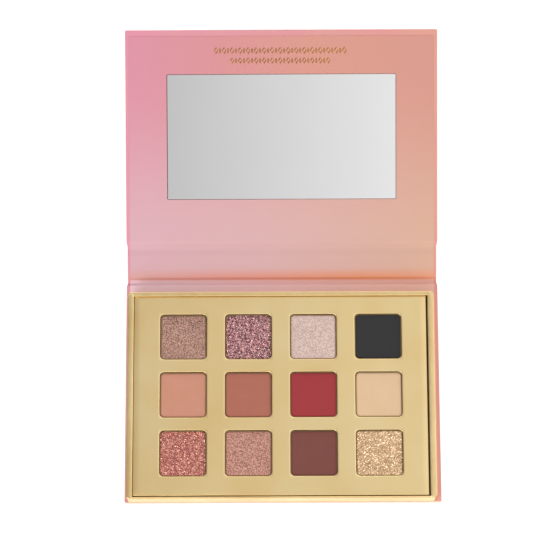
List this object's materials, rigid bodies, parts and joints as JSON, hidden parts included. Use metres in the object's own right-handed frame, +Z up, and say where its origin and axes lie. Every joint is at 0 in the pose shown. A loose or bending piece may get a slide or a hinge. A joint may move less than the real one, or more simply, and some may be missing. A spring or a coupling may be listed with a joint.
{
  "type": "eyeshadow palette",
  "caption": "Book-style board palette: a flat base with a gold tray of pressed powder pans, and a mirror lid on a paper spine that folds over it.",
  "frame": {"origin": "centre of the flat underside of the base, which lies on the table", "axes": "+X to the user's right, +Y from the front edge towards the hinge, +Z up; the long way of the opened palette runs along Y"},
  "size_m": [0.156, 0.2322, 0.0452],
  "materials": {
    "wrap_paper": "printed and laminated, silk",
    "liner_paper": "printed and laminated, satin",
    "greyboard": "raw greyboard",
    "kraft_paper": "gummed kraft tape",
    "gold_foil_paper": "metallised gold paper, satin",
    "adhesive": "double-sided tape and glue",
    "mirror_glass": "silvered glass",
    "magnet_steel": "nickel plated",
    "pan_tin": "tinplate",
    "powder_a1_shade": "pressed powder, shimmer",
    "powder_a2_shade": "pressed powder, coarse glitter",
    "powder_a3_shade": "pressed powder, fine shimmer",
    "powder_a4_shade": "pressed powder, matte",
    "powder_b1_shade": "pressed powder, matte",
    "powder_b2_shade": "pressed powder, matte",
    "powder_b3_shade": "pressed powder, matte",
    "powder_b4_shade": "pressed powder, matte",
    "powder_c1_shade": "pressed powder, coarse glitter",
    "powder_c2_shade": "pressed powder, fine shimmer",
    "powder_c3_shade": "pressed powder, matte",
    "powder_c4_shade": "pressed powder, coarse foil glitter"
  },
  "bodies": {
    "base": {"base_wrap": "wrap_paper", "base_board": "greyboard", "base_liner": "liner_paper", "tray_box": "greyboard", "tray_corner_stays": "kraft_paper", "tray_foil": "gold_foil_paper", "tray_tape": "adhesive", "pan_bed": "greyboard", "well_grid": "greyboard", "platform_board": "greyboard", "platform_foil": "gold_foil_paper", "steel_keepers": "magnet_steel", "pan_glue": "adhesive", "pan_a1": "pan_tin", "pan_a2": "pan_tin", "pan_a3": "pan_tin", "pan_a4": "pan_tin", "pan_b1": "pan_tin", "pan_b2": "pan_tin", "pan_b3": "pan_tin", "pan_b4": "pan_tin", "pan_c1": "pan_tin", "pan_c2": "pan_tin", "pan_c3": "pan_tin", "pan_c4": "pan_tin", "powder_a1": "powder_a1_shade", "powder_a2": "powder_a2_shade", "powder_a3": "powder_a3_shade", "powder_a4": "powder_a4_shade", "powder_b1": "powder_b1_shade", "powder_b2": "powder_b2_shade", "powder_b3": "powder_b3_shade", "powder_b4": "powder_b4_shade", "powder_c1": "powder_c1_shade", "powder_c2": "powder_c2_shade", "powder_c3": "powder_c3_shade", "powder_c4": "powder_c4_shade"},
    "spine": {"spine_wrap": "wrap_paper", "spine_board": "greyboard", "spine_liner": "liner_paper"},
    "lid": {"lid_wrap": "wrap_paper", "lid_board": "greyboard", "mirror_card": "greyboard", "lid_liner": "liner_paper", "mirror": "mirror_glass", "mirror_tape": "adhesive", "lid_magnets": "magnet_steel"}
  },
  "joints": [
    {"name": "spine_fold", "type": "hinge", "parent": "base", "child": "spine", "pos_m": [0, 0.0578, 0.0002], "axis": [1, 0, 0], "range_deg": [-19.5, 70.5]},
    {"name": "lid_fold", "type": "hinge", "parent": "spine", "child": "lid", "pos_m": [0, 0.0717, 0.00512], "axis": [1, 0, 0], "range_deg": [0, 90]}
  ]
}
